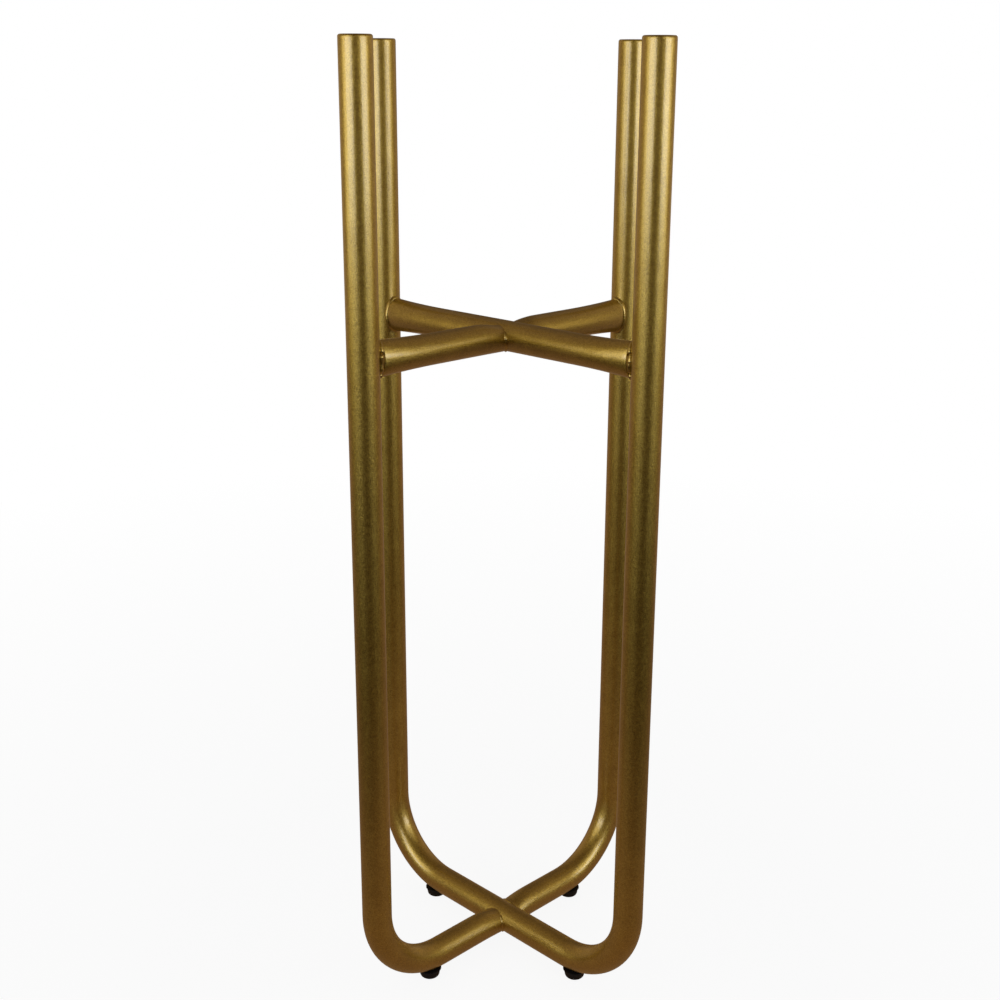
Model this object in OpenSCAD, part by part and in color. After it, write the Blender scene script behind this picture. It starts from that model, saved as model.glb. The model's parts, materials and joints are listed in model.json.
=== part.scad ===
// Tall plant stand of bent and welded round steel tube.
// One long tube makes two opposite legs and the run between them under the stand.
// Two J-shaped tubes make the other legs, and a cross of three bars carries the pot.
// The front is towards -Y. The origin is on the floor, on the middle axis of the stand.

/* [Stand] */
// Overall height from the floor to the tops of the legs
stand_h = 800; // [680:5:1000]
// Distance between the centres of neighbouring legs
leg_spacing = 213; // [190:1:260]
// Height of the pot seat, which is the top of the crossbars
pot_seat_h = 580; // [250:5:600]
// Centreline radius of the bend at the foot of each leg
bend_r = 70; // [50:1:85]

/* [Tube] */
// Outside diameter of the tube
tube_d = 25; // [22:0.5:30]
// Wall thickness of the tube
tube_wall = 1.2; // [0.8:0.1:2]

/* [Bar ends on the legs] */
// Length over which the end of a bar is squeezed narrower, towards the leg
leg_end_len = 58; // [40:1:64]
// How far each side of that end is pressed in
leg_end_press = 3; // [2:0.1:4]
// How far that end bulges at the top and at the bottom
leg_end_bulge = 2.2; // [0:0.1:3]
// Gap between the sawn edge of that end and the leg, which the weld bridges
leg_end_gap = 1; // [0.4:0.1:2]

/* [Notched ends at the crossings] */
// Length over which an end is squeezed flatter, towards the tube that crosses it
cross_end_len = 24; // [16:1:32]
// How far the top of that end is pressed down
cross_end_press = 2.8; // [1:0.1:4]
// How far that end bulges on each side
cross_end_bulge = 0.4; // [0:0.1:2]
// How much larger than the tube the radius of the notching die is
die_extra_r = 0.8; // [0.5:0.1:3]

/* [Welds] */
// Width of the weld bead on each of the surfaces that it joins
bead_leg = 2.2; // [1.2:0.1:3.5]
// Height of the crown of the bead
bead_crown = 0.7; // [0.3:0.1:1.2]

/* [End caps] */
// Thickness of the steel disc that closes the top of a leg
cap_t = 3; // [2:0.1:5]
// Radius of the rounded rim of that disc
cap_rim_r = 1.8; // [0.5:0.1:1.9]

/* [Feet] */
// Height of the underside of the base tubes above the floor
ground_gap = 7; // [5:0.5:12]
// Distance from the axis of a leg in to the axis of its foot
foot_inset = 59; // [45:1:75]
// Diameter of a foot under its lip
foot_d = 19; // [14:0.5:22]
// Diameter of a foot at the floor, across its rounded edge
foot_base_d = 16.5; // [11:0.5:18]
// Radius of the rounded edge at the floor
foot_edge_r = 2.5; // [0.5:0.1:3]
// How far the thin lip round the flat top of a foot stands out
foot_lip_out = 0.8; // [0.2:0.1:1.5]
// Thickness of that lip
foot_lip_t = 0.8; // [0.5:0.1:1.5]
// How far the tube sinks into the flat top of a foot on the foot's axis
foot_sink = 0.5; // [0.2:0.1:1]
// Diameter of the stem that is pushed into the tube
stem_d = 8; // [5:0.5:10]
// Clearance around the stem in its hole
stem_gap = 0.1; // [0.05:0.05:0.3]
// How far the barb of the stem stands out on each side
barb_out = 0.7; // [0.3:0.1:1.2]
// Length of the barb
barb_len = 4; // [2:0.5:6]

/* [Hidden] */

GOLD = [0.66, 0.52, 0.24];
BEAD_GOLD = [0.82, 0.68, 0.38];
BLACK = [0.06, 0.06, 0.065];

// Directions of the four legs as seen from the middle axis
BACK_RIGHT = 45;
BACK_LEFT = 135;
FRONT_LEFT = 225;
FRONT_RIGHT = 315;

tube_r = tube_d / 2;
bore_r = tube_r - tube_wall;
// Middle axis to leg axis, to a hundredth of a millimetre so that straight stretches end flush
leg_reach = round(leg_spacing / sqrt(2) * 100) / 100;
tangent_reach = leg_reach - bend_r;     // middle axis to the start of the bend
base_z = ground_gap + tube_r;           // axis of the base tubes
bar_z = pot_seat_h - tube_r;            // axis of the crossbars
tube_top_z = stand_h - cap_t;           // cut tops of the leg tubes
foot_reach = leg_reach - foot_inset;    // middle axis to foot axis
die_r = tube_r + die_extra_r;
cut = tube_wall;                        // how far a cutting shape runs past what it cuts
lap = tube_wall / 2;                    // how far the round tube runs into its squeezed end
seam = tube_wall / 60;                  // how little the squeezed end is smaller than the round tube

SIDES = 32;                             // facets round a squeezed end
BORE_SIDES = 24;                        // facets round its bore, which doesn't show
STEPS = 8;                              // facets along the squeeze
BEAD_STEP = 12;                         // degrees between two sections of a weld bead

// Arcs of weld bead, in degrees round the end of the tube as seen along it towards the
// joint: 0 is its left side and 90 its top. At a crossing 0 is the top and 90 the right.
ALL_ROUND = [0, 360];
FRONT_BEAD = [24, 312];                 // leaves the gap open on the side that faces the front
FRONT_TACK = [348, 360];                // short tack that bridges the open gap
UPPER_LEFT_BEAD = [48, 156];
UPPER_RIGHT_BEAD = [72, 156];
BASE_LEFT_BEAD = [36, 156];
BASE_RIGHT_BEAD = [-60, 60];

$fn = 96;

// ---------- Squeezed tube ends ----------
// In the frame of a joint the met tube stands on Z at x = 0.
// The squeezed tube comes in along X from the negative side.
// Its section goes from a circle to an ellipse that is narrower along Y.

// Pressed in along Y on average, bulge along Z, shift of the middle along Y, and length
LEG_END = [leg_end_press, leg_end_bulge, 0, leg_end_len];
CROSS_END = [cross_end_press / 2, cross_end_bulge, -cross_end_press / 2, cross_end_len];

leg_end_x = -tube_r - leg_end_gap;      // sawn edge of a bar, in the frame of its joint on a leg

// Where the squeeze starts
function squeeze_x(end) = -tube_r - end[3];

// Share of the squeeze that is reached at x: it grows as an arc up to the met tube
function squeeze_at(x, end) = pow(min(1, max(0, (x - squeeze_x(end)) / end[3])), 2);

// Half width across the squeeze, half height along the met tube, and middle of the section
function half_y(x, end) = tube_r - seam - end[0] * squeeze_at(x, end);
function half_z(x, end) = tube_r - seam + end[1] * squeeze_at(x, end);
function middle_y(x, end) = end[2] * squeeze_at(x, end);

// Point of the skin at angle a, or of a skin that lies further in
function skin(x, a, end, inward = 0) = [
    x,
    middle_y(x, end) + (half_y(x, end) - inward) * cos(a),
    (half_z(x, end) - inward) * sin(a)
];

function section(x, end, inward, sides) =
    [for (i = [0 : sides - 1]) skin(x, 360 * i / sides, end, inward)];

// Solid skin over equal rings of points, closed at both ends
module loft(rings) {
    n = len(rings[0]);
    last = len(rings) - 1;
    sides = [
        for (j = [0 : last - 1], i = [0 : n - 1])
            let (k = (i + 1) % n)
            each [
                [j * n + i, (j + 1) * n + i, (j + 1) * n + k],
                [j * n + i, (j + 1) * n + k, j * n + k]
            ]
    ];
    ends = [
        for (i = [1 : n - 2])
            each [[0, i, i + 1], [last * n, last * n + i + 1, last * n + i]]
    ];
    polyhedron(points = [for (ring = rings) each ring], faces = concat(sides, ends));
}

// Tube wall from the start of the squeeze to end_x
module squeezed_tube(end, end_x) {
    stations = [
        for (i = [0 : STEPS])
            let (x = squeeze_x(end) + end[3] * i / STEPS)
            if (x < end_x) x
    ];
    difference() {
        loft([for (x = concat(stations, [end_x])) section(x, end, 0, SIDES)]);
        loft([
            for (x = concat([squeeze_x(end) - cut], stations, [end_x + cut]))
                section(x, end, tube_wall, BORE_SIDES)
        ]);
    }
}

// End at a crossing, pressed down from above and notched round the met tube by a round die
module notched_end() {
    lowest_y = middle_y(0, CROSS_END) - half_y(0, CROSS_END);
    end_x = die_extra_r - sqrt(die_r * die_r - lowest_y * lowest_y) + cut;
    difference() {
        squeezed_tube(CROSS_END, end_x);
        translate([die_extra_r, 0, 0])
            cylinder(r = die_r, h = 2 * (half_z(0, CROSS_END) + cut), center = true);
    }
}

// Straight tube of a crossbar between the starts of its squeezed ends, along X
module straight_tube(from_x, to_x) {
    translate([from_x - lap, 0, bar_z])
        rotate([0, 90, 0])
            linear_extrude(to_x - from_x + 2 * lap)
                difference() {
                    circle(tube_r);
                    circle(bore_r);
                }
}

// Each tube is drawn out along +X from the middle axis and then turned to its leg.

// Puts a joint frame where the tube ends on its leg
module at_leg(z) {
    translate([leg_reach, 0, z])
        children();
}

// Puts a joint frame where the tube ends on the side of the tube that crosses it
module at_crossing(z) {
    translate([0, 0, z])
        rotate([90, 0, 180])
            children();
}

// ---------- Legs and base ----------

// Leg, bend and base run of one leg as a solid rod
module leg_rod(r, inner_x, top_z) {
    translate([leg_reach, 0, base_z + bend_r])
        cylinder(r = r, h = top_z - base_z - bend_r);
    translate([tangent_reach, 0, base_z + bend_r])
        rotate([90, 0, 0])
            rotate([0, 0, -90])
                rotate_extrude(angle = 90)
                    translate([bend_r, 0])
                        circle(r);
    translate([inner_x, 0, base_z])
        rotate([0, 90, 0])
            cylinder(r = r, h = tangent_reach - inner_x);
}

// Round hole for the stem of the foot, through the underside of the tube only
module stem_hole() {
    translate([foot_reach, 0, 0])
        cylinder(d = stem_d + 2 * stem_gap, h = base_z);
}

// One long tube: the back left leg, the run under the stand and the front right leg
module base_u_tube() {
    color(GOLD)
        rotate([0, 0, FRONT_RIGHT])
            difference() {
                for (turn = [0, 180])
                    rotate([0, 0, turn])
                        leg_rod(tube_r, 0, tube_top_z);
                for (turn = [0, 180])
                    rotate([0, 0, turn])
                        leg_rod(bore_r, 0, tube_top_z + cut);
                for (turn = [0, 180])
                    rotate([0, 0, turn])
                        stem_hole();
            }
}

// A leg whose base run ends in a pressed and notched end against the side of the long tube
module j_tube(direction) {
    run_x = -squeeze_x(CROSS_END) - lap;
    color(GOLD)
        rotate([0, 0, direction]) {
            difference() {
                leg_rod(tube_r, run_x, tube_top_z);
                leg_rod(bore_r, run_x - cut, tube_top_z + cut);
                stem_hole();
            }
            at_crossing(base_z)
                notched_end();
        }
}

module leg_tube_front_left() j_tube(FRONT_LEFT);
module leg_tube_back_right() j_tube(BACK_RIGHT);

// ---------- Cross that carries the pot ----------

module crossbar_long() {
    color(GOLD)
        rotate([0, 0, FRONT_RIGHT]) {
            straight_tube(-leg_reach - squeeze_x(LEG_END), leg_reach + squeeze_x(LEG_END));
            for (turn = [0, 180])
                rotate([0, 0, turn])
                    at_leg(bar_z)
                        squeezed_tube(LEG_END, leg_end_x);
        }
}

module crossbar_short(direction) {
    color(GOLD)
        rotate([0, 0, direction]) {
            straight_tube(-squeeze_x(CROSS_END), leg_reach + squeeze_x(LEG_END));
            at_leg(bar_z)
                squeezed_tube(LEG_END, leg_end_x);
            at_crossing(bar_z)
                notched_end();
        }
}

module crossbar_short_front_left() crossbar_short(FRONT_LEFT);
module crossbar_short_back_right() crossbar_short(BACK_RIGHT);

// ---------- Weld beads ----------
// In the frame of a joint, a is the angle round the notched end: 0 is +Y and 90 is +Z.

function unit(v) = v / norm(v);

// Five corners of the bead at angle a: its root, its toe on the squeezed end,
// two points of its crown, and its toe on the met tube. edge_x is a sawn edge that it covers.
function bead_section(a, end, edge_x) =
    let (
        foot_of_a = skin(0, a, end),
        y = foot_of_a[1],
        z = foot_of_a[2],
        turn = asin(y / tube_r),
        root = [-tube_r * cos(turn), y, z],
        near_toe = skin(min(root[0] - bead_leg, edge_x - bead_leg / 2), a, end),
        far_turn = turn + bead_leg / tube_r * cos(a) * 180 / PI,
        far_toe = [-tube_r * cos(far_turn), tube_r * sin(far_turn), z + bead_leg * sin(a)],
        end_normal = unit([0, half_z(0, end) * cos(a), half_y(0, end) * sin(a)]),
        out = unit(end_normal + [-cos(turn), sin(turn), 0]),
        crown_near = near_toe * 2 / 3 + far_toe / 3 + bead_crown * out,
        crown_far = near_toe / 3 + far_toe * 2 / 3 + bead_crown * out
    )
    [root, near_toe, crown_near, crown_far, far_toe];

// Weld bead along the joint from one angle to another, or all the way round
module bead(end, edge_x, from_a, to_a) {
    ring_closed = to_a - from_a >= 360;
    count = round((to_a - from_a) / BEAD_STEP);
    stations = ring_closed ? count : count + 1;
    sections = [
        for (i = [0 : stations - 1])
            bead_section(from_a + (to_a - from_a) * i / count, end, edge_x)
    ];
    n = len(sections[0]);
    skin = [
        for (j = [0 : count - 1], i = [0 : n - 1])
            let (here = j * n, there = (j + 1) % stations * n, k = (i + 1) % n)
            each [[here + i, here + k, there + k], [here + i, there + k, there + i]]
    ];
    ends = ring_closed ? [] : [
        for (i = [1 : n - 2])
            each [
                [0, i + 1, i],
                [count * n, count * n + i, count * n + i + 1]
            ]
    ];
    polyhedron(points = [for (s = sections) each s], faces = concat(skin, ends));
}

// Beads round the end of a bar on its leg, one for each arc of angles
module leg_weld(direction, arcs) {
    color(BEAD_GOLD)
        rotate([0, 0, direction])
            for (arc = arcs)
                at_leg(bar_z)
                    bead(LEG_END, leg_end_x, arc[0], arc[1]);
}

// Bead where a tube ends on the side of the tube that crosses it
module crossing_weld(direction, z, arc) {
    color(BEAD_GOLD)
        rotate([0, 0, direction])
            at_crossing(z)
                bead(CROSS_END, 0, arc[0], arc[1]);
}

// The same arc on the other side of a joint on a leg
function mirrored(arc) = [180 - arc[1], 180 - arc[0]];

// The back joints are welded all round. On the front of the front joints the bead
// stops, and a short tack bridges the open gap.
module weld_bar_front_left() leg_weld(FRONT_LEFT, [FRONT_BEAD, FRONT_TACK]);
module weld_bar_front_right() leg_weld(FRONT_RIGHT, [mirrored(FRONT_BEAD), mirrored(FRONT_TACK)]);
module weld_bar_back_left() leg_weld(BACK_LEFT, [ALL_ROUND]);
module weld_bar_back_right() leg_weld(BACK_RIGHT, [ALL_ROUND]);

module weld_cross_front_left() crossing_weld(FRONT_LEFT, bar_z, UPPER_LEFT_BEAD);
module weld_cross_back_right() crossing_weld(BACK_RIGHT, bar_z, UPPER_RIGHT_BEAD);
module weld_base_front_left() crossing_weld(FRONT_LEFT, base_z, BASE_LEFT_BEAD);
module weld_base_back_right() crossing_weld(BACK_RIGHT, base_z, BASE_RIGHT_BEAD);

// ---------- End caps ----------

// Flat disc on the cut top of a leg, with a rounded rim
module end_cap(direction) {
    color(GOLD)
        rotate([0, 0, direction])
            translate([leg_reach, 0, tube_top_z])
                rotate_extrude() {
                    square([tube_r, cap_t - cap_rim_r]);
                    square([tube_r - cap_rim_r, cap_t]);
                    translate([tube_r - cap_rim_r, cap_t - cap_rim_r])
                        intersection() {
                            circle(cap_rim_r);
                            square(cap_rim_r);
                        }
                }
}

module end_cap_front_left() end_cap(FRONT_LEFT);
module end_cap_front_right() end_cap(FRONT_RIGHT);
module end_cap_back_left() end_cap(BACK_LEFT);
module end_cap_back_right() end_cap(BACK_RIGHT);

// ---------- Feet ----------

// Height of the underside of a leg tube's skin of this radius, at a point of its run and bend
function underside_z(r, x, y) =
    let (
        outer_r = bend_r + sqrt(r * r - y * y),
        into_bend = max(0, x - tangent_reach)
    )
    base_z + bend_r - sqrt(outer_r * outer_r - into_bend * into_bend);

// Highest place of that underside on a circle round the axis of the foot
function highest_z(r, round_r) =
    max([for (a = [0 : 15 : 180]) underside_z(r, foot_reach + round_r * cos(a), round_r * sin(a))]);

// Push-in glide: a tapered pad with a thin lip round its flat top, and a barbed stem
module foot(direction) {
    pad_r = foot_d / 2;
    base_r = foot_base_d / 2;
    stem_r = stem_d / 2;
    saddle_z = underside_z(tube_r, foot_reach, 0);
    pad_top = saddle_z + foot_sink;
    lip_r = pad_r + foot_lip_out;
    lip_z = pad_top - foot_lip_t;
    barb_z = highest_z(bore_r, stem_r + barb_out) + stem_gap;
    color(BLACK)
        rotate([0, 0, direction]) {
            difference() {
                translate([foot_reach, 0, 0])
                    rotate_extrude()
                        polygon(concat(
                            [[0, 0]],
                            [
                                for (a = [-90 : 15 : 0])
                                    [
                                        base_r - foot_edge_r + foot_edge_r * cos(a),
                                        foot_edge_r + foot_edge_r * sin(a)
                                    ]
                            ],
                            [[pad_r, lip_z], [lip_r, lip_z], [lip_r, pad_top], [0, pad_top]]
                        ));
                leg_rod(tube_r, 0, base_z + bend_r + cut);
            }
            translate([foot_reach, 0, saddle_z - cut])
                cylinder(r = stem_r, h = barb_z - saddle_z + cut);
            translate([foot_reach, 0, barb_z])
                cylinder(r1 = stem_r + barb_out, r2 = stem_r - barb_out, h = barb_len);
        }
}

module foot_front_left() foot(FRONT_LEFT);
module foot_front_right() foot(FRONT_RIGHT);
module foot_back_left() foot(BACK_LEFT);
module foot_back_right() foot(BACK_RIGHT);

base_u_tube();
leg_tube_front_left();
leg_tube_back_right();
crossbar_long();
crossbar_short_front_left();
crossbar_short_back_right();
end_cap_front_left();
end_cap_front_right();
end_cap_back_left();
end_cap_back_right();
foot_front_left();
foot_front_right();
foot_back_left();
foot_back_right();
weld_bar_front_left();
weld_bar_front_right();
weld_bar_back_left();
weld_bar_back_right();
weld_cross_front_left();
weld_cross_back_right();
weld_base_front_left();
weld_base_back_right();
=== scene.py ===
# %% [markdown]
# # A plant stand in gold-painted steel tube
# The stand is one slim frame: four legs of bent tube, a cross of three bars that carries
# the pot, and four black glides. The CAD model gives every place and size, so this
# script only makes what a camera sees: round smooth tubes, rippled welds, a metallic
# paint with a fine grain, and the light that such a paint needs.

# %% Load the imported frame
import json
import math
import bmesh
import bpy
from mathutils import Matrix, Vector

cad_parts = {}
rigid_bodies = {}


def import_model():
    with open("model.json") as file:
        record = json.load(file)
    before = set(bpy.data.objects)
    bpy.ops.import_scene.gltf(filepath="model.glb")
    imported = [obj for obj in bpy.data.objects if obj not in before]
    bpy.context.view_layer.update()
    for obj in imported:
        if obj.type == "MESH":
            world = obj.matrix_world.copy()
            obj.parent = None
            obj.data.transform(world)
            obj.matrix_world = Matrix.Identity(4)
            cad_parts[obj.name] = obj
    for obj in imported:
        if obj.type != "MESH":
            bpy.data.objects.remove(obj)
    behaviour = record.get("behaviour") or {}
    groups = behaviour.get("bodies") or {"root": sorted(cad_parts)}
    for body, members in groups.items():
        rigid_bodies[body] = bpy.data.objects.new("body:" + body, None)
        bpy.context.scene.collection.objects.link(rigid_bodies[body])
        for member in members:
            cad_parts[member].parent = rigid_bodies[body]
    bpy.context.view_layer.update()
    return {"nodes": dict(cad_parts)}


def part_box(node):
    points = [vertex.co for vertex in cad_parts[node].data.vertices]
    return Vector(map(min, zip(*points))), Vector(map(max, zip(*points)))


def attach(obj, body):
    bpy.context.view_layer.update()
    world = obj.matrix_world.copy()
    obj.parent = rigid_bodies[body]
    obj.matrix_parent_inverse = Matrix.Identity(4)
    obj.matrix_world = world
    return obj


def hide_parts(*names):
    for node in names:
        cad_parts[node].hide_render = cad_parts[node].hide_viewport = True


for leftover in list(bpy.data.objects):
    bpy.data.objects.remove(leftover)
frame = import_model()

# %% [markdown]
# ## Sizes that everything shares
# The places of the tubes are read from the CAD nodes instead of being typed: the middle
# of an end cap is the axis of a leg, and the lowest point of a leg tube is one radius
# under the axis of the base. Only sizes that no box shows, such as the wall of the tube
# and the radius of the bends, are written here.

# %% Read the frame's main sizes
def middle(node):
    """The middle of a CAD node's box: its x, y and z."""
    return [(low + high) / 2 for low, high in zip(*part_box(node))]


cap_low, cap_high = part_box("end_cap_front_left")
tube_r = (cap_high.x - cap_low.x) / 2
tube_top, stand_top = cap_low.z, cap_high.z
leg_reach = math.hypot(*middle("end_cap_front_left")[:2])
foot_reach = math.hypot(*middle("foot_front_left")[:2])
foot_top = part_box("foot_front_left")[1].z
base_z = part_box("leg_tube_front_left")[0].z + tube_r
bar_z = middle("crossbar_long")[2]

tube_wall = 0.0012
bend_r = 0.070
tangent_reach = leg_reach - bend_r
print(f"tube radius {tube_r:.4f}, leg at {leg_reach:.4f}")
print(f"base at {base_z:.4f}, bars at {bar_z:.4f}, foot at {foot_reach:.4f}")

# %% [markdown]
# ## Directions and small helpers
# Each piece is drawn out along +X from the middle axis and then turned to its leg. The
# turn is applied to the mesh, because a pattern on Object coordinates must not turn with
# one piece and stay on the next. Every piece starts as a ring of vertices, so one helper
# adds a ring and opens it for editing.

# %% Directions of the legs
FRONT_LEFT, FRONT_RIGHT, BACK_LEFT, BACK_RIGHT = 225, 315, 135, 45
LEGS = {
    "front_left": FRONT_LEFT,
    "front_right": FRONT_RIGHT,
    "back_left": BACK_LEFT,
    "back_right": BACK_RIGHT,
}
print("legs at", LEGS)

# %% Start a piece, and work on it in edit mode
SIDES = 64
AXIS_UP, AXIS_X, AXIS_Y = (0, 0, 0), (0, math.pi / 2, 0), (math.pi / 2, 0, 0)
TOUCHING = 1e-6


def ring(name, radius, place, axis=AXIS_UP, sides=SIDES, fill="NOTHING"):
    """Adds a ring of vertices, open or filled, and opens it for editing, all selected."""
    bpy.ops.object.select_all(action="DESELECT")
    bpy.ops.mesh.primitive_circle_add(
        vertices=sides, radius=radius, fill_type=fill, location=place, rotation=axis
    )
    piece = bpy.context.object
    piece.name = name
    bpy.ops.object.transform_apply(location=True, rotation=True, scale=True)
    bpy.ops.object.mode_set(mode="EDIT")
    bpy.ops.mesh.select_all(action="SELECT")
    return piece


def only(piece):
    """Selects this piece alone and makes it the active one."""
    bpy.ops.object.select_all(action="DESELECT")
    piece.select_set(True)
    bpy.context.view_layer.objects.active = piece


def edit(piece):
    """Opens this piece alone for editing."""
    only(piece)
    bpy.ops.object.mode_set(mode="EDIT")


def select_where(piece, test, kind="VERT"):
    """Selects the vertices, edges or faces of the piece in edit mode that pass the test."""
    bpy.ops.mesh.select_mode(type=kind)
    bpy.ops.mesh.select_all(action="DESELECT")
    mesh = bmesh.from_edit_mesh(piece.data)
    chosen = {"VERT": mesh.verts, "EDGE": mesh.edges, "FACE": mesh.faces}[kind]
    for part in chosen:
        part.select_set(bool(test(part)))
    mesh.select_flush_mode()
    bmesh.update_edit_mesh(piece.data)


def rim_at(piece, z):
    """Selects the edges that lie level at this height."""
    select_where(piece, lambda e: all(abs(v.co.z - z) < TOUCHING for v in e.verts), "EDGE")


def round_edges(radius, segments):
    """Bevels the selected edges."""
    bpy.ops.mesh.bevel(offset=radius, segments=segments, profile=0.5, affect="EDGES")


def face_outward():
    """Turns every face of the piece in edit mode outward, and leaves edit mode."""
    bpy.ops.mesh.select_all(action="SELECT")
    bpy.ops.mesh.normals_make_consistent(inside=False)
    bpy.ops.object.mode_set(mode="OBJECT")


print(f"{SIDES} sides on every tube")

# %% Finish a piece, and turn it to its leg
def turned(piece, degrees):
    """Turns a finished piece about the middle axis to its leg and applies the turn."""
    only(piece)
    piece.rotation_euler = (0, 0, math.radians(degrees))
    bpy.ops.object.transform_apply(location=True, rotation=True, scale=True)
    return piece


def apply_modifier(piece, kind, **settings):
    """Adds a modifier with these settings and applies it."""
    only(piece)
    modifier = piece.modifiers.new(kind.title(), kind)
    for key, value in settings.items():
        setattr(modifier, key, value)
    bpy.ops.object.modifier_apply(modifier=modifier.name)


def smooth(piece, degrees=35):
    """Shades a piece smooth, with a crease where faces meet at more than these degrees."""
    only(piece)
    bpy.ops.object.shade_smooth_by_angle(angle=math.radians(degrees))
    return piece


def copy_of(piece, name):
    """A copy with its own mesh."""
    twin = piece.copy()
    twin.data = piece.data.copy()
    twin.name = name
    bpy.context.scene.collection.objects.link(twin)
    return twin


def on_every_leg(piece, stem):
    """A piece drawn along +X and its copies, each turned to its leg and named after it."""
    pieces = {leg: copy_of(piece, stem + leg) for leg in LEGS if leg != "front_left"}
    pieces["front_left"] = piece
    return {leg: turned(pieces[leg], degrees) for leg, degrees in LEGS.items()}


print("a piece is turned by", list(LEGS.values()), "degrees")

# %% [markdown]
# ## Pulling a tube out of a ring
# A bent tube could be a curve with a round bevel, or a ring of vertices that is extruded
# along the straight parts and spun round the bends. The ring is used here, because its
# last stretch has to be squeezed out of round, ring by ring, as the press of a tube
# notcher does it, and a curve has no handle for that.

# %% Extrude, bend and squeeze a ring
BEND_STEPS = 24
SQUEEZE_STEPS = 12


def pull(by):
    """Extrudes the selected open ring straight on."""
    bpy.ops.mesh.extrude_region_move(TRANSFORM_OT_translate={"value": by})


def bend(centre):
    """Spins the selected ring a quarter turn about an axis along Y."""
    bpy.ops.mesh.spin(steps=BEND_STEPS, angle=-math.pi / 2, center=centre, axis=(0, 1, 0))


def squeeze(begin, way, end, run):
    """Pulls the ring on along X for this run while the press changes its two half widths."""
    width = height = tube_r
    pinned_z = begin[2] + end["pinned"] * tube_r
    for step in range(1, SQUEEZE_STEPS + 1):
        along = run * step / SQUEEZE_STEPS
        share = (along / end["length"]) ** 2
        pull((way * run / SQUEEZE_STEPS, 0, 0))
        new_width = tube_r - end["press_y"] * share
        new_height = tube_r - end["press_z"] * share
        bpy.ops.transform.resize(
            value=(1, new_width / width, new_height / height),
            center_override=(begin[0] + way * along, 0, pinned_z),
        )
        width, height = new_width, new_height


print(f"{BEND_STEPS} rings in a bend, {SQUEEZE_STEPS} in a squeezed end")

# %% [markdown]
# ## Two kinds of tube end
# On a leg the end of a bar was squeezed between two jaws over a long stretch, until it
# was narrow enough to sit on the round leg, and sawn off straight. The saw left a gap
# that the weld bridges. At a crossing the end was pressed down from above only, and
# notched to fit round the next tube. The notch is a Boolean with a cylinder a little
# larger than the tube, like the die of the notching press. The wall gets its thickness
# before the cut, so that the cut shows it.
#
# The tables give how far each end is squeezed and how much each half size shrinks, where
# a minus sign makes it grow. The press holds one height still, "pinned", in tube radii
# from the axis: the jaws hold the axis, and the bed of the press holds the underside.

# %% Wall and notch of a tube
LEG_END = {"length": 0.058, "press_y": 0.0030, "press_z": -0.0022, "pinned": 0}
CROSS_END = {"length": 0.024, "press_y": -0.0004, "press_z": 0.0014, "pinned": -1}
leg_gap = 0.001
die_extra_r = 0.0008
end_beyond = 0.0102
FORM_SIDES, form_len = 128, 0.06


def form(radius, place, axis):
    """A plain cylinder for another piece to be cut with or wrapped onto."""
    bpy.ops.object.select_all(action="DESELECT")
    bpy.ops.mesh.primitive_cylinder_add(
        vertices=FORM_SIDES, radius=radius, depth=form_len, location=place, rotation=axis
    )
    return bpy.context.object


def notch(piece, z):
    """Cuts the die's cylinder, which lies along Y, out of a tube end at the middle axis."""
    die = form(tube_r + die_extra_r, (-die_extra_r, 0, z), AXIS_Y)
    apply_modifier(piece, "BOOLEAN", operation="DIFFERENCE", solver="EXACT", object=die)
    bpy.data.objects.remove(die)


def give_wall(piece):
    """Closes the skin into a wall, outward faces first so that the wall goes inward."""
    bpy.ops.mesh.select_all(action="SELECT")
    bpy.ops.mesh.remove_doubles(threshold=TOUCHING)
    face_outward()
    apply_modifier(piece, "SOLIDIFY", thickness=tube_wall, offset=-1, use_even_offset=True)


def half_sizes(end):
    """Half the width and half the height of a squeezed end."""
    return tube_r - end["press_y"], tube_r - end["press_z"]


print("die radius", round(tube_r + die_extra_r, 4))

# %% [markdown]
# ## The long tube
# One tube makes the back left leg, the run under the stand and the front right leg. It
# is drawn as one path, so the paint runs through the bends without a seam.

# %% Long U-shaped tube
straight_leg = tube_top - base_z - bend_r


def leg_and_bend(name):
    """Starts a tube at the top of its leg and draws it down and round the first bend."""
    piece = ring(name, tube_r, (leg_reach, 0, tube_top))
    pull((0, 0, -straight_leg))
    bend((tangent_reach, 0, base_z + bend_r))
    return piece


u_tube = leg_and_bend("painted_u_tube")
pull((-2 * tangent_reach, 0, 0))
bend((-tangent_reach, 0, base_z + bend_r))
pull((0, 0, straight_leg))
give_wall(u_tube)
smooth(turned(u_tube, FRONT_RIGHT))
print("long tube:", len(u_tube.data.polygons), "faces")

# %% [markdown]
# ## The two J-shaped tubes
# The other two legs end under the stand, where each is pressed down from above and
# notched against the side of the long tube. One is modelled and the other is its copy,
# turned by half a turn.

# %% J-shaped tubes
cross_start = tube_r + CROSS_END["length"]
j_front = leg_and_bend("painted_j_tube_front_left")
pull((cross_start - tangent_reach, 0, 0))
squeeze((cross_start, 0, base_z), -1, CROSS_END, CROSS_END["length"])
pull((-end_beyond, 0, 0))
give_wall(j_front)
notch(j_front, base_z)
smooth(j_front)
j_back = copy_of(j_front, "painted_j_tube_back_right")
turned(j_front, FRONT_LEFT)
turned(j_back, BACK_RIGHT)
print("J-shaped tube:", len(j_front.data.polygons), "faces")

# %% [markdown]
# ## The cross that carries the pot
# The long bar is squeezed sideways at both ends, so that it grows taller towards the
# legs. The short bars do the same at the leg and are pressed down at the middle, where
# they meet the side of the long bar. The rims of the sawn ends are dulled with a small
# bevel, as a file and the paint leave them.

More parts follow.
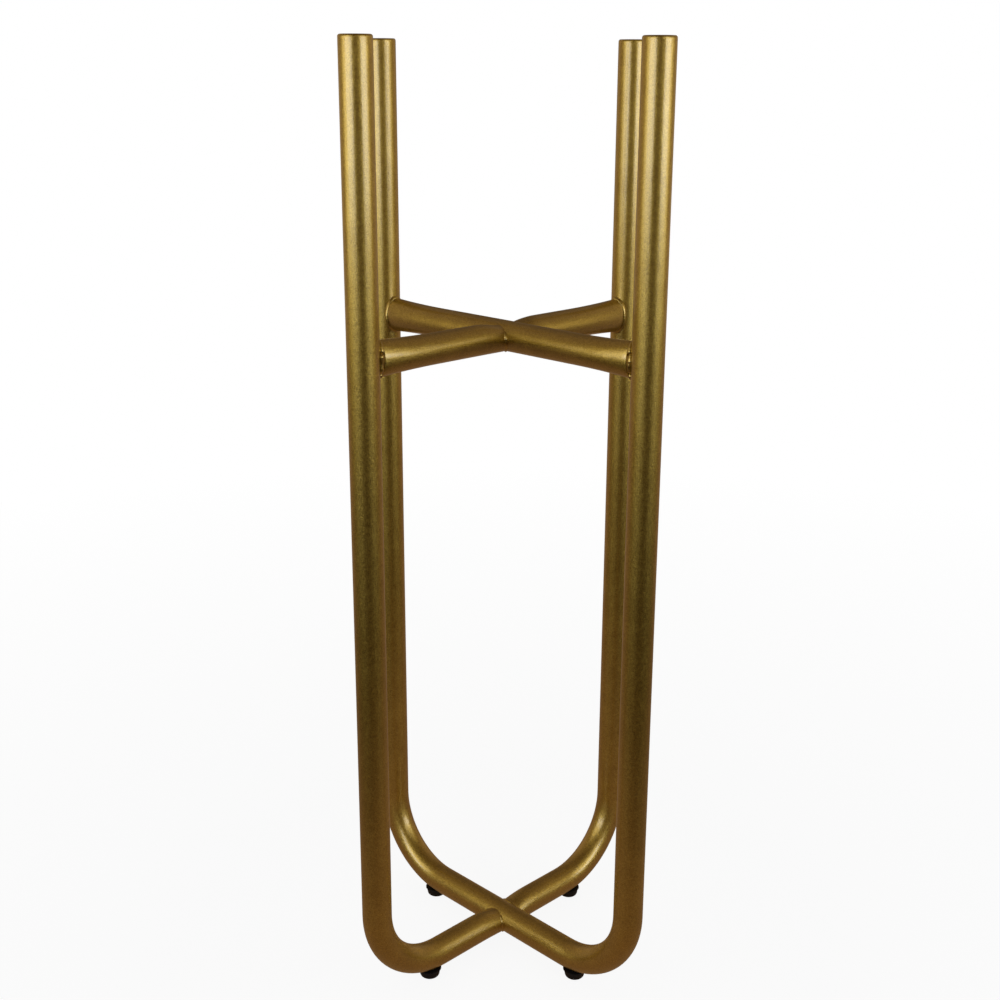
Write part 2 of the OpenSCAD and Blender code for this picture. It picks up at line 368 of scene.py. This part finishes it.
# %% Crossbars
bar_start = leg_reach - tube_r - LEG_END["length"]
leg_run = LEG_END["length"] - leg_gap
bar_end = bar_start + leg_run
sawn_rim_r = 0.0007
OUTER_FROM = 0.95


def bar(name, inner):
    """A bar from this inner station out to the leg, with its inner end selected."""
    piece = ring(name, tube_r, (inner, 0, bar_z), AXIS_X)
    pull((bar_start - inner, 0, 0))
    squeeze((bar_start, 0, bar_z), 1, LEG_END, leg_run)
    select_where(piece, lambda v: abs(v.co.x - inner) < TOUCHING)
    return piece


def on_sawn_rim(vertex):
    """Whether a vertex lies on a sawn end, and outside this share of its half sizes."""
    half_y, half_z = half_sizes(LEG_END)
    x, y, z = vertex.co
    outward = math.hypot(y / half_y, (z - bar_z) / half_z)
    return abs(abs(x) - bar_end) < TOUCHING and outward > OUTER_FROM


def dull_rims(piece):
    """Bevels the outer rim of each sawn end."""
    edit(piece)
    select_where(piece, lambda e: all(on_sawn_rim(v) for v in e.verts), "EDGE")
    round_edges(sawn_rim_r, segments=3)
    bpy.ops.object.mode_set(mode="OBJECT")


bar_long = bar("painted_bar_long", -bar_start)
squeeze((-bar_start, 0, bar_z), -1, LEG_END, leg_run)
give_wall(bar_long)
dull_rims(bar_long)
smooth(bar_long)

bar_front = bar("painted_bar_front_left", cross_start)
squeeze((cross_start, 0, bar_z), -1, CROSS_END, CROSS_END["length"])
pull((-end_beyond, 0, 0))
give_wall(bar_front)
dull_rims(bar_front)
notch(bar_front, bar_z)
smooth(bar_front)
bar_back = copy_of(bar_front, "painted_bar_back_right")
turned(bar_long, FRONT_RIGHT)
turned(bar_front, FRONT_LEFT)
turned(bar_back, BACK_RIGHT)
print("bars:", len(bar_long.data.polygons), "and", len(bar_front.data.polygons), "faces")

# %% [markdown]
# ## Weld beads
# A bead follows the corner between two tubes, which is a ring bent like a saddle. The
# ring is drawn flat, as the ellipse of the squeezed end, and wrapped onto the met tube
# with a Shrinkwrap modifier. On a leg it is then drawn back towards the sawn edge:
# halfway, to run down the middle of the gap, or less far, to lie on the leg. It becomes
# a curve with a round section that is sunk into both tubes, so that only a low fillet
# shows.

# %% Wrap a ring onto a tube
BEAD_POINTS = 240
off_tube = 0.03
leg_sink, cross_sink = (0.0013, 0.0005), (0.0002, 0.0002)


def end_middle(end, z):
    """Height of the middle of a squeezed end whose tube lies at z."""
    return z + end["pinned"] * end["press_z"]


def joint_angle(point, centre, upright):
    """Degrees round a joint: 0 is the pressed side, and 90 the bulging one, of the end."""
    end = LEG_END if upright else CROSS_END
    half_y, half_z = half_sizes(end)
    y = point.y / half_y
    z = (point.z - end_middle(end, centre.z)) / half_z
    return math.degrees(math.atan2(z, y) if upright else math.atan2(y, z)) % 360


def wrapped_line(centre, upright, drawn, deeper):
    """The line of a bead, drawn this share of the way to the met tube and this much deeper."""
    met_tube = form(tube_r, centre, AXIS_UP if upright else AXIS_Y)
    end, sink, side = (LEG_END, leg_sink, -1) if upright else (CROSS_END, cross_sink, 1)
    start = Vector((centre.x + side * off_tube, 0, end_middle(end, centre.z)))
    line = ring("bead", 1, start, AXIS_X, sides=BEAD_POINTS)
    half_y, half_z = (half - in_tube - deeper for half, in_tube in zip(half_sizes(end), sink))
    bpy.ops.transform.resize(value=(1, half_y, half_z), center_override=start)
    bpy.ops.object.mode_set(mode="OBJECT")
    apply_modifier(
        line,
        "SHRINKWRAP",
        target=met_tube,
        wrap_method="PROJECT",
        use_project_x=True,
        use_project_y=False,
        use_project_z=False,
        use_negative_direction=not upright,
        use_positive_direction=upright,
    )
    bpy.data.objects.remove(met_tube)
    if upright:
        edit(line)
        bpy.ops.mesh.select_all(action="SELECT")
        sawn_edge = (centre.x - tube_r - leg_gap, 0, centre.z)
        bpy.ops.transform.resize(value=(drawn, 1, 1), center_override=sawn_edge)
        bpy.ops.object.mode_set(mode="OBJECT")
    return line


def cut_to_arc(line, centre, upright, arc):
    """Deletes the points of a line outside an arc of degrees round its joint."""
    first, last = arc
    edit(line)
    select_where(line, lambda v: (joint_angle(v.co, centre, upright) - first) % 360 > last - first)
    bpy.ops.mesh.delete(type="VERT")
    bpy.ops.object.mode_set(mode="OBJECT")


print(BEAD_POINTS, "points round a joint")

# %% [markdown]
# The ring is cut down to the arc that was really welded. Its points then carry the
# radius of the bead: a slow swell, here and there some lumps, and the small even ripple
# that the wire leaves each time the pool freezes. On a leg the bead is widest at the
# sides, where the gap is. A curve suits this, because each of its points has a radius.

# %% Give the line a rippled section
ripple_len, taper_len = 0.0021, 0.0020
RIPPLE, SWELL = 0.014, 0.08
SWELLS_ROUND, LUMPS_ROUND = 3, 8
BLUNT = 0.04
leg_bead_r, cross_bead_r = (0.0024, 0.0018), (0.0013, 0.0013)
unit_r = 0.001


def bead_radius(angle, along, upright, lumps, phase):
    """The radius of a bead at an angle round its joint, this far along its line."""
    side_r, top_r = leg_bead_r if upright else cross_bead_r
    radius = side_r + (top_r - side_r) * math.sin(angle) ** 2
    swell = SWELL * math.sin(SWELLS_ROUND * angle + phase)
    lump = lumps * math.sin(LUMPS_ROUND * angle + phase)
    ripple = RIPPLE * math.sin(2 * math.pi * along / ripple_len)
    return radius * (1 + swell + lump) * (1 + ripple)


def bead(centre, upright, arc, thin=1.0, drawn=0.5, deeper=0.0, lumps=0.0, phase=0.0):
    """A weld bead over an arc of degrees round a joint, closed at its ends."""
    piece = wrapped_line(centre, upright, drawn, deeper)
    if arc[1] - arc[0] < 360:
        cut_to_arc(piece, centre, upright, arc)
    only(piece)
    bpy.ops.object.convert(target="CURVE")
    piece.data.bevel_depth = unit_r
    piece.data.bevel_resolution = 4
    piece.data.use_fill_caps = True
    spline = piece.data.splines[0]
    places = [Vector(point.co[:3]) for point in spline.points]
    run = [0.0]
    for before, after in zip(places, places[1:]):
        run.append(run[-1] + (after - before).length)
    for point, place, along in zip(spline.points, places, run):
        angle = math.radians(joint_angle(place, centre, upright))
        radius = bead_radius(angle, along, upright, lumps, phase)
        if not spline.use_cyclic_u:
            to_end = min(along, run[-1] - along)
            radius *= math.sqrt(min(1.0, BLUNT + to_end / taper_len))
        point.radius = thin * radius / unit_r
    bpy.ops.object.convert(target="MESH")
    edit(piece)
    bpy.ops.mesh.select_all(action="SELECT")
    bpy.ops.mesh.remove_doubles(threshold=TOUCHING)
    face_outward()
    return smooth(piece, degrees=60)


def joined(parts):
    """Several beads of one joint as one piece."""
    only(parts[0])
    if len(parts) > 1:
        for part in parts[1:]:
            part.select_set(True)
        bpy.ops.object.join()
    return parts[0]


print("beads on the legs have radii of", leg_bead_r)

# %% [markdown]
# The two back joints are welded all round, with a low blob on top, where the run began
# and ended. At the front the pool missed the end of the bar on the side that is seen:
# there a lumpy bead lies on the leg alone, and a fine dark crack stays between it and
# the sawn edge, with the root of the weld at its bottom. On the right a short bridge
# crosses the crack, with a hollow under it. At the middle the beads only fill the
# corners that a torch could reach.

# %% Weld all the joints
leg_joint = Vector((leg_reach, 0, bar_z))
middle_joint, base_joint = Vector((0, 0, bar_z)), Vector((0, 0, base_z))
BACK_RUNS = [{"arc": (0, 360)}, {"arc": (66, 104), "thin": 1.12, "lumps": 0.06}]
FRONT_LEFT_RUNS = [
    {"arc": (20, 310)},
    {"arc": (-56, 26), "drawn": 0.82, "lumps": 0.18},
    {"arc": (-60, 30), "deeper": 0.0012},
]
FRONT_RIGHT_RUNS = [
    {"arc": (-134, 158)},
    {"arc": (150, 190), "drawn": 0.82, "lumps": 0.18},
    {"arc": (184, 194), "thin": 0.95},
    {"arc": (150, 232), "deeper": 0.0012},
]
beads = {}


def weld(node, degrees, centre, upright, runs):
    """Lays all the runs of one joint, as one piece, and turns them to its leg."""
    parts = [bead(centre, upright, phase=degrees + i, **run) for i, run in enumerate(runs)]
    piece = joined(parts)
    piece.name = "painted_" + node
    beads[node] = turned(piece, degrees)


weld("weld_bar_front_left", FRONT_LEFT, leg_joint, True, FRONT_LEFT_RUNS)
weld("weld_bar_front_right", FRONT_RIGHT, leg_joint, True, FRONT_RIGHT_RUNS)
weld("weld_bar_back_left", BACK_LEFT, leg_joint, True, BACK_RUNS)
weld("weld_bar_back_right", BACK_RIGHT, leg_joint, True, BACK_RUNS)
weld("weld_cross_front_left", FRONT_LEFT, middle_joint, False, [{"arc": (48, 156)}])
weld("weld_cross_back_right", BACK_RIGHT, middle_joint, False, [{"arc": (72, 156)}])
weld("weld_base_front_left", FRONT_LEFT, base_joint, False, [{"arc": (36, 156)}])
weld("weld_base_back_right", BACK_RIGHT, base_joint, False, [{"arc": (-60, 60)}])
print("beads:", {node: len(piece.data.polygons) for node, piece in beads.items()})

# %% [markdown]
# ## End caps
# Each leg is closed by a steel disc that was welded on and ground, so its rim is round.
# A filled circle is extruded to the thickness of the disc, and its upper rim is beveled.
# The paint hides the ground seam below, so the cap's side runs straight into the tube's.

# %% Caps
cap_t = stand_top - tube_top
cap_rim_r = 0.0018
cap = ring("painted_cap_front_left", tube_r, (leg_reach, 0, tube_top), fill="NGON")
pull((0, 0, cap_t))
rim_at(cap, stand_top)
round_edges(cap_rim_r, segments=6)
face_outward()
smooth(cap)
caps = on_every_leg(cap, "painted_cap_")
print("cap:", len(cap.data.polygons), "faces,", round(cap_t * 1000, 2), "mm thick")

# %% [markdown]
# ## Glides
# A glide is a small moulded pad with a stem that is pushed into the tube. The pad widens
# upwards to a thin lip round its flat top, which the tube sinks into. It is a filled
# circle that is extruded and widened, with a rounded edge at the floor. Its saddle is
# cut with a rod that follows the tube, so it sits on the tube where the bend begins.

# %% Rod of the tube's outside, to cut the saddle
rod = ring("rod", tube_r, (leg_reach, 0, base_z + bend_r))
bend((tangent_reach, 0, base_z + bend_r))
pull((-tangent_reach, 0, 0))
bpy.ops.mesh.select_all(action="SELECT")
bpy.ops.mesh.fill_holes(sides=0)
face_outward()
print("the rod has", len(rod.data.polygons), "faces")

# %% Pad of a glide
pad_r, pad_floor_r = 0.0095, 0.00825
lip_out, lip_t, lip_above = 0.0008, 0.0008, 0.0005
pad_edge_r, lip_edge_r = 0.0025, 0.00025
outer_bend_r = bend_r + tube_r
into_bend = foot_reach - tangent_reach
saddle_z = base_z + bend_r - math.sqrt(outer_bend_r**2 - into_bend**2)
pad_top = saddle_z + lip_above


def widen(ratio, z):
    """Scales the selection about the axis of the foot."""
    bpy.ops.transform.resize(value=(ratio, ratio, 1), center_override=(foot_reach, 0, z))


glide = ring("glide_front_left", pad_floor_r, (foot_reach, 0, 0), fill="NGON")
pull((0, 0, pad_top - lip_t))
widen(pad_r / pad_floor_r, 0)
pull((0, 0, 0))
widen((pad_r + lip_out) / pad_r, 0)
pull((0, 0, lip_t))
rim_at(glide, pad_top)
round_edges(lip_edge_r, segments=2)
rim_at(glide, 0)
round_edges(pad_edge_r, segments=6)
face_outward()
apply_modifier(glide, "BOOLEAN", operation="DIFFERENCE", solver="EXACT", object=rod)
bpy.data.objects.remove(rod)
print(f"the tube sinks to {saddle_z:.4f} in a pad {pad_top:.4f} high")

# %% [markdown]
# The stem goes up into the tube and ends in a cone that is widest at its lower edge, the
# barb, which holds the glide in its hole. It starts a little way down inside the pad, so
# that the two join cleanly.

# %% Stem of the glide, and a glide for every leg
STEM_SIDES = 32
stem_r, barb_r = 0.004, 0.0047
barb_len, stem_in_pad = 0.004, 0.002
barb_z = foot_top - barb_len
stem_low = (foot_reach, 0, saddle_z - stem_in_pad)
stem = ring("stem", stem_r, stem_low, sides=STEM_SIDES, fill="NGON")
pull((0, 0, barb_z - saddle_z + stem_in_pad))
pull((0, 0, 0))
widen(barb_r / stem_r, barb_z)
pull((0, 0, barb_len))
widen((2 * stem_r - barb_r) / barb_r, barb_z)
face_outward()
apply_modifier(glide, "BOOLEAN", operation="UNION", solver="EXACT", object=stem)
bpy.data.objects.remove(stem)
smooth(glide)
glides = on_every_leg(glide, "glide_")
print("glide:", len(glide.data.polygons), "faces")

# %% [markdown]
# ## Writing materials as sums
# A shader is easier to read as an expression than as a list of links. A small class
# wraps a socket, and its operators add Math nodes. Every other node comes from one
# method, which takes the node's type, the values or wires of its sockets, and its
# settings.

# %% The wrapper of a socket
class Wire:
    """An output socket on which sums, differences and products make Math nodes."""

    def __init__(self, finish, socket):
        self.finish, self.socket = finish, socket

    def worked_out(self, operation, first, second):
        return self.finish.node("ShaderNodeMath", {0: first, 1: second}, operation=operation)

    def __add__(self, other):
        return self.worked_out("ADD", self, other)

    def __sub__(self, other):
        return self.worked_out("SUBTRACT", self, other)

    def __rsub__(self, other):
        return self.worked_out("SUBTRACT", other, self)

    def __mul__(self, other):
        return self.worked_out("MULTIPLY", self, other)

    def __lt__(self, other):
        return self.worked_out("LESS_THAN", self, other)

    __radd__ = __add__
    __rmul__ = __mul__


print("a Wire stands for one output socket")

# %% The maker of nodes
class Finish:
    """The nodes of a material, or of the world, all made by one method."""

    def __init__(self, owner):
        owner.use_nodes = True
        self.owner, self.tree = owner, owner.node_tree
        self.tree.nodes.clear()

    def node(self, kind, values=None, output=0, **settings):
        made = self.tree.nodes.new(kind)
        for key, value in settings.items():
            setattr(made, key, value)
        for key, value in (values or {}).items():
            if isinstance(value, Wire):
                self.tree.links.new(value.socket, made.inputs[key])
            else:
                made.inputs[key].default_value = value
        return Wire(self, made.outputs[output]) if made.outputs else None

    def place(self):
        return self.node("ShaderNodeTexCoord", output="Object")

    def noise(self, scale, detail=2.0, roughness=0.5):
        values = {"Vector": self.place(), "Scale": scale, "Detail": detail, "Roughness": roughness}
        return self.node("ShaderNodeTexNoise", values)

    def bump(self, height):
        """The normal of a surface with this height, in metres."""
        return self.node("ShaderNodeBump", {"Height": height, "Distance": 1.0, "Strength": 1.0})

    def blend(self, share, first, second):
        """Goes from the first colour to the second by a share."""
        ends = [end if isinstance(end, Wire) else (*end, 1) for end in (first, second)]
        return self.node(
            "ShaderNodeMix", {0: share, 6: ends[0], 7: ends[1]}, output=2, data_type="RGBA"
        )

    def surface(self, shader, kind="ShaderNodeOutputMaterial"):
        self.node(kind, {"Surface": shader})
        return self.owner


def new_finish(name):
    return Finish(bpy.data.materials.new(name))


print("a Finish makes the nodes of one material")

# %% [markdown]
# ## Gold paint
# The colour is a sprayed metallic paint: flakes in a yellow-brown binder under a clear
# film. Plain brass would mirror the room, and a plain yellow would look like plastic, so
# the shader is fully metallic and satin, and its full coat, which is a little rough as
# well, lays a pale glint over the gold one. A fine orange peel breaks the edge of each
# highlight into the grain that shows on the real tube, and a few specks of dust were
# painted over. On the welds the paint ran and lies thicker, so it is glossier there and
# a bead shows a bright glint.
#
# A noise keeps close to one half, so the mix of noises that shades the flakes is spread
# out about its middle before it picks a colour.

# %% Gold paint on the tubes, and on the welds
GOLD_DEEP, GOLD_PALE = (0.37, 0.240, 0.034), (0.67, 0.480, 0.096)
PEEL_SCALE, FLAKE_SCALE, CLOUD_SCALE, LUMP_SCALE, SPECK_SCALE = 460, 1150, 55, 240, 42
flake_height, speck_height = 0.00005, 0.00012
SPECK_SIZE = 0.016
TONE_SPREAD = 3.0
UNEVEN_GLOSS = 0.12


def gold(name, roughness, peel_height, lump_height):
    finish = new_finish(name)
    peel = finish.noise(PEEL_SCALE, detail=3.0, roughness=0.6)
    flake = finish.noise(FLAKE_SCALE, detail=1.0)
    cloud = finish.noise(CLOUD_SCALE)
    lumps = finish.noise(LUMP_SCALE, detail=1.0)
    cells = {"Vector": finish.place(), "Scale": SPECK_SCALE, "Randomness": 1.0}
    speck = finish.node("ShaderNodeTexVoronoi", cells, output="Distance") < SPECK_SIZE
    height = peel * peel_height + flake * flake_height + speck * speck_height + lumps * lump_height
    tone = (0.2 * cloud + 0.5 * flake + 0.3 * peel) * TONE_SPREAD - (TONE_SPREAD - 1) / 2
    values = {
        "Base Color": finish.blend(tone, GOLD_DEEP, GOLD_PALE),
        "Metallic": 1.0,
        "Roughness": roughness + UNEVEN_GLOSS * peel + UNEVEN_GLOSS * flake,
        "Coat Weight": 1.0,
        "Coat IOR": 1.75,
        "Coat Roughness": 0.22,
        "Normal": finish.bump(height),
    }
    return finish.surface(finish.node("ShaderNodeBsdfPrincipled", values))


gold_paint = gold("gold_paint", roughness=0.28, peel_height=0.00024, lump_height=0.0)
gold_weld = gold("gold_weld", roughness=0.20, peel_height=0.00010, lump_height=0.00008)
print("gold from", GOLD_DEEP, "to", GOLD_PALE)

# %% [markdown]
# ## Black plastic
# The glides are moulded in black plastic with a dull skin. Pure black would be a hole in
# the picture, so the colour stays a little above it and a fine grain scatters the light.
# The dull skin throws back less than a polished one, which a lower specular level gives.

# %% Glide plastic
BLACK_DEEP, BLACK_PALE = (0.003, 0.003, 0.004), (0.007, 0.007, 0.009)
GRAIN_SCALE, grain_height = 1500, 0.00002


def black_plastic():
    finish = new_finish("black_plastic")
    grain = finish.noise(GRAIN_SCALE)
    values = {
        "Base Color": finish.blend(grain, BLACK_DEEP, BLACK_PALE),
        "Roughness": 0.42 + UNEVEN_GLOSS * grain,
        "Specular IOR Level": 0.25,
        "Normal": finish.bump(grain * grain_height),
    }
    return finish.surface(finish.node("ShaderNodeBsdfPrincipled", values))


glide_plastic = black_plastic()
print("black from", BLACK_DEEP, "to", BLACK_PALE)

# %% [markdown]
# ## Putting the finishes on and the pieces on the frame
# Every piece stands for its CAD node, which is hidden, rides on the one body of the frame,
# and takes its finish.

# %% Dress and fasten
def dress(piece, node, material):
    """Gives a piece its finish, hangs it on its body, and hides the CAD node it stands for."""
    piece.data.materials.clear()
    piece.data.materials.append(material)
    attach(piece, "root")
    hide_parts(node)


tubes = {
    "base_u_tube": u_tube,
    "leg_tube_front_left": j_front,
    "leg_tube_back_right": j_back,
    "crossbar_long": bar_long,
    "crossbar_short_front_left": bar_front,
    "crossbar_short_back_right": bar_back,
}
for node, piece in tubes.items():
    dress(piece, node, gold_paint)
for leg, piece in caps.items():
    dress(piece, "end_cap_" + leg, gold_paint)
for node, piece in beads.items():
    dress(piece, node, gold_weld)
for leg, piece in glides.items():
    dress(piece, "foot_" + leg, glide_plastic)
print(len(tubes) + len(caps) + len(beads) + len(glides), "pieces on the frame")

# %% [markdown]
# ## Camera
# The photograph was taken from the height of the tops of the legs, a little over a metre
# away, looking down. The camera is placed by its position, turn and lens, and is not
# shifted, so that it can be moved round the stand for other views.

# %% Camera
LENS, SENSOR = 50.54, 36.0
camera_place = Vector((-0.0014, -1.1390, 0.7827))
yaw, pitch, roll = math.radians(-0.13), math.radians(17.39), math.radians(0.26)
look = Vector((
    math.sin(yaw) * math.cos(pitch), math.cos(yaw) * math.cos(pitch), -math.sin(pitch)
))
level = Vector((math.cos(yaw), -math.sin(yaw), 0))
up = level.cross(look)
right = math.cos(roll) * level + math.sin(roll) * up
up = math.cos(roll) * up - math.sin(roll) * level
camera = bpy.data.objects.new("camera", bpy.data.cameras.new("camera"))
bpy.context.scene.collection.objects.link(camera)
camera.data.lens, camera.data.sensor_width = LENS, SENSOR
camera.data.clip_start = 0.01
turn = Matrix((right, up, -look)).transposed().to_4x4()
camera.matrix_world = Matrix.Translation(camera_place) @ turn
bpy.context.scene.camera = camera
print("camera at", tuple(round(v, 3) for v in camera_place))

# %% [markdown]
# ## Light
# Round metal shows its lamps as stripes. The photograph has one stripe on each side of
# every leg, bright at the top and gone by half height. A line of sight that meets a leg
# at the top is thrown on level, and one that meets it low is thrown down to the floor. So
# two wide, low, soft lamps stand in front, to the left and the right, and reach up to a
# little above the tops of the legs. Their light is slightly cool, as daylight is, because
# gold paint takes the blue out of what it mirrors.

# %% Two soft lamps
lamp_away, lamp_low, lamp_tall = 2.0, 0.48, 0.52
LAMPS = {
    "lamp_left": {"turn": -45.5, "wide": 1.85, "watts": 8.3},
    "lamp_right": {"turn": 56.5, "wide": 1.58, "watts": 7.7},
}
COOL_WHITE = (0.94, 1.0, 1.12)


def round_the_stand(away, turn, height):
    """A place at this distance and turn from the front, and this high."""
    side = math.radians(turn)
    return Vector((away * math.sin(side), -away * math.cos(side), height))


for name, lamp in LAMPS.items():
    data = bpy.data.lights.new(name, "AREA")
    data.shape, data.size, data.size_y = "RECTANGLE", lamp["wide"], lamp_tall
    data.energy, data.color = lamp["watts"], COOL_WHITE
    piece = bpy.data.objects.new(name, data)
    bpy.context.scene.collection.objects.link(piece)
    piece.location = round_the_stand(lamp_away, lamp["turn"], lamp_low + lamp_tall / 2)
    inward = Vector((-piece.location.x, -piece.location.y, 0))
    piece.rotation_euler = inward.to_track_quat("-Z", "Y").to_euler()
print("lamps at", [lamp["turn"] for lamp in LAMPS.values()], "degrees from the front")

# %% [markdown]
# ## World and floor
# The background is white to the camera and in reflections, and only a soft fill to
# everything else. The floor is pale and matt, but to the camera and in reflections most
# of it is an even white glow. Near the stand a small share of the matt paper is left,
# which keeps a soft shadow, and it fades out into the white background further away.

# %% World
FILL = 0.45
WHITE = (1, 1, 1, 1)


def greater(finish, first, second):
    """The greater one of two values."""
    return finish.node("ShaderNodeMath", {0: first, 1: second}, operation="MAXIMUM")


def seen_directly(finish):
    """1 for camera, glossy and transmission rays, and 0 for the rest."""
    total = finish.node("ShaderNodeLightPath", output="Is Camera Ray")
    for ray in ("Is Glossy Ray", "Is Transmission Ray"):
        total = greater(finish, total, finish.node("ShaderNodeLightPath", output=ray))
    return total


world = bpy.data.worlds.new("studio")
bpy.context.scene.world = world
sky = Finish(world)
brightness = {"Value": seen_directly(sky), "To Min": FILL, "To Max": 1.0}
strength = sky.node("ShaderNodeMapRange", brightness)
white_sky = sky.node("ShaderNodeBackground", {"Color": WHITE, "Strength": strength})
sky.surface(white_sky, "ShaderNodeOutputWorld")
print("the world is white, and fills with a strength of", FILL)

# %% Floor
floor_half = 6.0
fade_start, fade_end = 0.3, 1.6
FLOOR_GLOW = 0.91
bpy.ops.object.select_all(action="DESELECT")
bpy.ops.mesh.primitive_plane_add(size=2 * floor_half, location=(0, 0, 0))
floor = bpy.context.object
floor.name = "floor"
paper = new_finish("pale_floor")
away = paper.node("ShaderNodeVectorMath", {0: paper.place()}, "Value", operation="LENGTH")
fading = {"Value": away, "From Min": fade_start, "From Max": fade_end, "To Min": FLOOR_GLOW}
glow = seen_directly(paper) * paper.node("ShaderNodeMapRange", fading)
matt_look = {"Base Color": (0.92, 0.92, 0.92, 1), "Roughness": 0.9}
matt = paper.node("ShaderNodeBsdfPrincipled", matt_look)
white = paper.node("ShaderNodeEmission", {"Color": WHITE, "Strength": 1.0})
mixed = paper.node("ShaderNodeMixShader", {0: glow, 1: matt, 2: white})
floor.data.materials.append(paper.surface(mixed))
print("floor of", 2 * floor_half, "metres")

# %% [markdown]
# ## Cards that paint the reflections
# The room in which the stand was photographed was dim and its floor was dark, so the
# paint between the stripes and on the lower legs is a deep brown. Above each lamp hung a
# paler area, which the bends mirror from their upper sides, and the bars, which lie at
# half a right angle to the camera, mirror a pale wall on each side. Photographers of
# metal get this with cards round the object. Here the cards glow and are no lamps: they
# are painted reflections. A dim warm dome, a dark table top that paints shade into the
# lower legs, two boards over the lamps and two at the sides paint pale highlights on the
# bends and bars. The dome is paler in its two back corners, a painted reflection that
# makes the tubes look round from behind as well. The cards are seen only in reflections,
# so the picture's background stays white and they throw no shade.

# %% How a card glows
def reflection_card(card, name, colour):
    """Makes the piece a painted reflection: it glows in reflections alone, in a colour that the
    finish works out.
    """
    card.name = name
    finish = new_finish(name)
    glow = finish.node("ShaderNodeEmission", {"Color": colour(finish)})
    card.data.materials.append(finish.surface(glow))
    card.visible_camera = card.visible_diffuse = card.visible_shadow = False
    card.visible_transmission = card.visible_volume_scatter = False


def ramp(finish, wire, span):
    """0 below a span of values, 1 above it, and even between its ends."""
    ends = {"From Min": span[0], "From Max": span[1]}
    return finish.node("ShaderNodeMapRange", {"Value": wire, **ends})


def place_along(finish, axis):
    """The place along one axis."""
    return finish.node("ShaderNodeSeparateXYZ", {0: finish.place()}, axis)


print("cards show in reflections alone")

# %% Painted reflections of a dim room and a dark table
# The glow of the dome and the table is painted reflection, not a colour of any thing: the dome is
# dim in front and paler at its back corners, and the table glows brown near the stand, dark around
# it, which paints shade into the lower legs, and pale behind.
room_r, table_size, table_lift = 3.2, 6.6, 0.0004
ROOM_ASIDE, ROOM_DEPTH = (0.3, 2.0), (-1.0, 2.4)
TABLE_REACH, TABLE_DEPTH = (0.25, 0.7), (-0.45, 0.8)
ROOM_FRONT = (0.10, 0.065, 0.035)
ROOM_BACK = (0.12, 0.080, 0.045)
ROOM_CORNERS = (0.42, 0.30, 0.17)
TABLE_NEAR = (0.20, 0.115, 0.055)
TABLE_DARK = (0.012, 0.007, 0.004)
TABLE_BACK = (0.25, 0.155, 0.09)


def painted_room_reflection(finish):
    aside = finish.node("ShaderNodeMath", {0: place_along(finish, "X")}, operation="ABSOLUTE")
    behind = finish.blend(ramp(finish, aside, ROOM_ASIDE), ROOM_BACK, ROOM_CORNERS)
    depth = ramp(finish, place_along(finish, "Y"), ROOM_DEPTH)
    return finish.blend(depth, ROOM_FRONT, behind)


def painted_table_reflection(finish):
    away = finish.node("ShaderNodeVectorMath", {0: finish.place()}, "Value", operation="LENGTH")
    front = finish.blend(ramp(finish, away, TABLE_REACH), TABLE_NEAR, TABLE_DARK)
    depth = ramp(finish, place_along(finish, "Y"), TABLE_DEPTH)
    return finish.blend(depth, front, TABLE_BACK)


bpy.ops.object.select_all(action="DESELECT")
bpy.ops.mesh.primitive_uv_sphere_add(segments=48, ring_count=24, radius=room_r)
reflection_card(bpy.context.object, "dim_room_reflection", painted_room_reflection)
bpy.ops.object.select_all(action="DESELECT")
bpy.ops.mesh.primitive_plane_add(size=table_size, location=(0, 0, table_lift))
bpy.ops.object.transform_apply(location=True)
reflection_card(bpy.context.object, "dark_table_reflection", painted_table_reflection)
print("the room is", 2 * room_r, "metres across")

# %% Boards over the lamps and at the sides, glowing as painted highlights
# The boards and walls glow brighter than white low down and fade higher up. They are no lamps and
# light nothing: they paint the pale highlight bands on the bends and bars.
BOARDS = {
    "board_left": {"away": 2.1, "turn": -52.0, "wide": 2.0, "low": 1.04, "tall": 1.5},
    "board_right": {"away": 2.1, "turn": 43.0, "wide": 1.5, "low": 1.04, "tall": 1.5},
    "wall_left": {"away": 1.02, "turn": -72.0, "wide": 0.36, "low": 0.50, "tall": 1.0},
    "wall_right": {"away": 1.02, "turn": 78.0, "wide": 0.28, "low": 0.50, "tall": 1.0},
}
BOARD_LOW, BOARD_HIGH, BOARD_FADE = (1.7, 1.55, 1.05), (0.60, 0.53, 0.36), (1.05, 1.9)
WALL_LOW, WALL_HIGH, WALL_FADE = (1.6, 1.42, 0.82), (0.36, 0.31, 0.20), (0.8, 1.3)


def board_highlight_glow(finish):
    return finish.blend(ramp(finish, place_along(finish, "Z"), BOARD_FADE), BOARD_LOW, BOARD_HIGH)


def wall_highlight_glow(finish):
    return finish.blend(ramp(finish, place_along(finish, "Z"), WALL_FADE), WALL_LOW, WALL_HIGH)


for name, board in BOARDS.items():
    bpy.ops.object.select_all(action="DESELECT")
    bpy.ops.mesh.primitive_plane_add(
        size=1,
        location=round_the_stand(board["away"], board["turn"], board["low"] + board["tall"] / 2),
        rotation=(math.pi / 2, 0, math.radians(board["turn"])),
    )
    bpy.context.object.scale = (board["wide"], board["tall"], 1)
    bpy.ops.object.transform_apply(location=True, rotation=True, scale=True)
    colour = board_highlight_glow if name.startswith("board") else wall_highlight_glow
    reflection_card(bpy.context.object, name, colour)
print("boards:", ", ".join(BOARDS))

# %% [markdown]
# ## Last settings
# The picture is shown without a film look, and the CAD nodes that no piece has replaced
# are printed.

# %% Finish
bpy.context.scene.view_settings.view_transform = "Standard"
print("still shown as CAD:", [o.name for o in frame["nodes"].values() if not o.hide_render])
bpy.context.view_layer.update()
bpy.ops.object.select_all(action="DESELECT")
